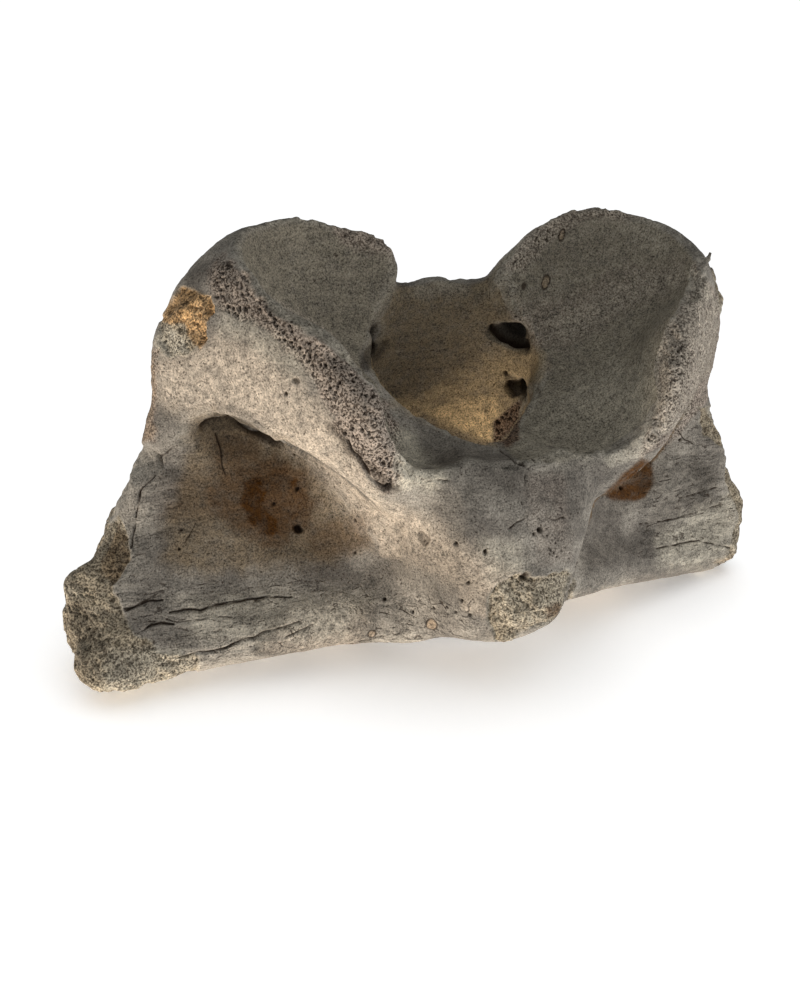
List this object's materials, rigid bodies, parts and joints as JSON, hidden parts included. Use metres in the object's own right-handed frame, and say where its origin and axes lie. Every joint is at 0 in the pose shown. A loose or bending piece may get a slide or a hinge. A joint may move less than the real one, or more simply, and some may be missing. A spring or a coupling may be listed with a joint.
{
  "type": "cow atlas vertebra",
  "caption": "Dry, weathered first neck bone of a cow, standing on its tail end with the cups for the skull on top and a wing to each side.",
  "frame": {"origin": "on the floor, under the middle of the bone's bounding box", "axes": "+X towards the animal's left wing, +Y towards its dorsal side, +Z towards the skull end"},
  "size_m": [0.1538, 0.07, 0.0803],
  "materials": {
    "bone": "matt weathered bone"
  },
  "bodies": {
    "root": {"atlas": "bone"}
  },
  "joints": []
}
